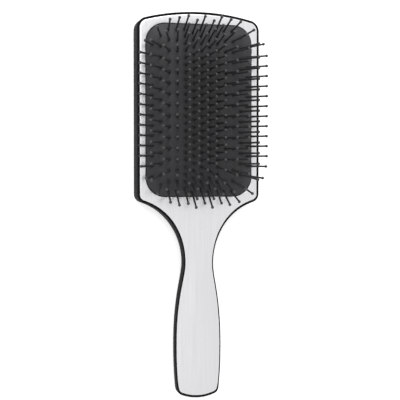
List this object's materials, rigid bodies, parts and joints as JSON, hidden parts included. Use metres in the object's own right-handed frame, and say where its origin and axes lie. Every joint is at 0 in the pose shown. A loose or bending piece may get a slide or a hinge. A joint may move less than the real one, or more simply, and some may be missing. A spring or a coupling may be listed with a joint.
{
  "type": "paddle brush",
  "caption": "Flat paddle hairbrush: silver face plate on a black hollow body, domed rubber air cushion with ball-tipped nylon pins that lean outwards at its edges.",
  "frame": {"origin": "under the middle of the brush's length and width, on the flat of the back", "axes": "+Y along the handle towards the head's top edge, +Z out of the pad along the pins, +X to the right seen from the pins' side with the head up"},
  "size_m": [0.0834, 0.25, 0.0392],
  "materials": {
    "shell_black": "satin moulded, fine texture",
    "plate_silver": "satin, brushed along the handle",
    "cushion_rubber": "matt",
    "carrier_plastic": "matt moulded",
    "pin_nylon": "semi-gloss",
    "screw_steel": "zinc plated"
  },
  "bodies": {
    "shell": {"back_shell": "shell_black", "front_plate": "plate_silver", "pad_carrier": "carrier_plastic", "carrier_screw_1": "screw_steel", "carrier_screw_2": "screw_steel", "carrier_screw_3": "screw_steel", "carrier_screw_4": "screw_steel", "carrier_screw_5": "screw_steel", "carrier_screw_6": "screw_steel"},
    "cushion": {"cushion": "cushion_rubber"},
    "pin_row_1": {"pin_row_1": "pin_nylon"},
    "pin_row_2": {"pin_row_2": "pin_nylon"},
    "pin_row_3": {"pin_row_3": "pin_nylon"},
    "pin_row_4": {"pin_row_4": "pin_nylon"},
    "pin_row_5": {"pin_row_5": "pin_nylon"},
    "pin_row_6": {"pin_row_6": "pin_nylon"},
    "pin_row_7": {"pin_row_7": "pin_nylon"},
    "pin_row_8": {"pin_row_8": "pin_nylon"},
    "pin_row_9": {"pin_row_9": "pin_nylon"},
    "pin_row_10": {"pin_row_10": "pin_nylon"},
    "pin_row_11": {"pin_row_11": "pin_nylon"},
    "pin_row_12": {"pin_row_12": "pin_nylon"},
    "pin_row_13": {"pin_row_13": "pin_nylon"}
  },
  "joints": [
    {"name": "cushion_press", "type": "slide", "parent": "shell", "child": "cushion", "axis": [0, 0, -1], "range_m": [0, 0.003], "stiffness_N_per_m": 6600, "deforming": ["cushion"]},
    {"name": "pin_row_1_rock", "type": "hinge", "parent": "cushion", "child": "pin_row_1", "pos_m": [-0.03132, 0.0612, 0.01738], "axis": [0, 1, 0], "range_deg": [-8, 8], "stiffness_Nm_per_rad": 0.77, "deforming": ["cushion"]},
    {"name": "pin_row_2_rock", "type": "hinge", "parent": "cushion", "child": "pin_row_2", "pos_m": [-0.0261, 0.0612, 0.01977], "axis": [0, 1, 0], "range_deg": [-8, 8], "stiffness_Nm_per_rad": 0.77, "deforming": ["cushion"]},
    {"name": "pin_row_3_rock", "type": "hinge", "parent": "cushion", "child": "pin_row_3", "pos_m": [-0.02088, 0.0612, 0.02128], "axis": [0, 1, 0], "range_deg": [-8, 8], "stiffness_Nm_per_rad": 0.77, "deforming": ["cushion"]},
    {"name": "pin_row_4_rock", "type": "hinge", "parent": "cushion", "child": "pin_row_4", "pos_m": [-0.01566, 0.0612, 0.02206], "axis": [0, 1, 0], "range_deg": [-8, 8], "stiffness_Nm_per_rad": 0.77, "deforming": ["cushion"]},
    {"name": "pin_row_5_rock", "type": "hinge", "parent": "cushion", "child": "pin_row_5", "pos_m": [-0.01044, 0.0612, 0.02229], "axis": [0, 1, 0], "range_deg": [-8, 8], "stiffness_Nm_per_rad": 0.77, "deforming": ["cushion"]},
    {"name": "pin_row_6_rock", "type": "hinge", "parent": "cushion", "child": "pin_row_6", "pos_m": [-0.00522, 0.0612, 0.0223], "axis": [0, 1, 0], "range_deg": [-8, 8], "stiffness_Nm_per_rad": 0.77, "deforming": ["cushion"]},
    {"name": "pin_row_7_rock", "type": "hinge", "parent": "cushion", "child": "pin_row_7", "pos_m": [0, 0.0612, 0.0223], "axis": [0, 1, 0], "range_deg": [-8, 8], "stiffness_Nm_per_rad": 0.77, "deforming": ["cushion"]},
    {"name": "pin_row_8_rock", "type": "hinge", "parent": "cushion", "child": "pin_row_8", "pos_m": [0.00522, 0.0612, 0.0223], "axis": [0, 1, 0], "range_deg": [-8, 8], "stiffness_Nm_per_rad": 0.77, "deforming": ["cushion"]},
    {"name": "pin_row_9_rock", "type": "hinge", "parent": "cushion", "child": "pin_row_9", "pos_m": [0.01044, 0.0612, 0.02229], "axis": [0, 1, 0], "range_deg": [-8, 8], "stiffness_Nm_per_rad": 0.77, "deforming": ["cushion"]},
    {"name": "pin_row_10_rock", "type": "hinge", "parent": "cushion", "child": "pin_row_10", "pos_m": [0.01566, 0.0612, 0.02206], "axis": [0, 1, 0], "range_deg": [-8, 8], "stiffness_Nm_per_rad": 0.77, "deforming": ["cushion"]},
    {"name": "pin_row_11_rock", "type": "hinge", "parent": "cushion", "child": "pin_row_11", "pos_m": [0.02088, 0.0612, 0.02128], "axis": [0, 1, 0], "range_deg": [-8, 8], "stiffness_Nm_per_rad": 0.77, "deforming": ["cushion"]},
    {"name": "pin_row_12_rock", "type": "hinge", "parent": "cushion", "child": "pin_row_12", "pos_m": [0.0261, 0.0612, 0.01977], "axis": [0, 1, 0], "range_deg": [-8, 8], "stiffness_Nm_per_rad": 0.77, "deforming": ["cushion"]},
    {"name": "pin_row_13_rock", "type": "hinge", "parent": "cushion", "child": "pin_row_13", "pos_m": [0.03132, 0.0612, 0.01738], "axis": [0, 1, 0], "range_deg": [-8, 8], "stiffness_Nm_per_rad": 0.77, "deforming": ["cushion"]}
  ],
  "couplings": [
    {"joint": "pin_row_1_rock", "follows": "pin_row_7_rock", "ratio": 1},
    {"joint": "pin_row_2_rock", "follows": "pin_row_7_rock", "ratio": 1},
    {"joint": "pin_row_3_rock", "follows": "pin_row_7_rock", "ratio": 1},
    {"joint": "pin_row_4_rock", "follows": "pin_row_7_rock", "ratio": 1},
    {"joint": "pin_row_5_rock", "follows": "pin_row_7_rock", "ratio": 1},
    {"joint": "pin_row_6_rock", "follows": "pin_row_7_rock", "ratio": 1},
    {"joint": "pin_row_8_rock", "follows": "pin_row_7_rock", "ratio": 1},
    {"joint": "pin_row_9_rock", "follows": "pin_row_7_rock", "ratio": 1},
    {"joint": "pin_row_10_rock", "follows": "pin_row_7_rock", "ratio": 1},
    {"joint": "pin_row_11_rock", "follows": "pin_row_7_rock", "ratio": 1},
    {"joint": "pin_row_12_rock", "follows": "pin_row_7_rock", "ratio": 1},
    {"joint": "pin_row_13_rock", "follows": "pin_row_7_rock", "ratio": 1}
  ]
}
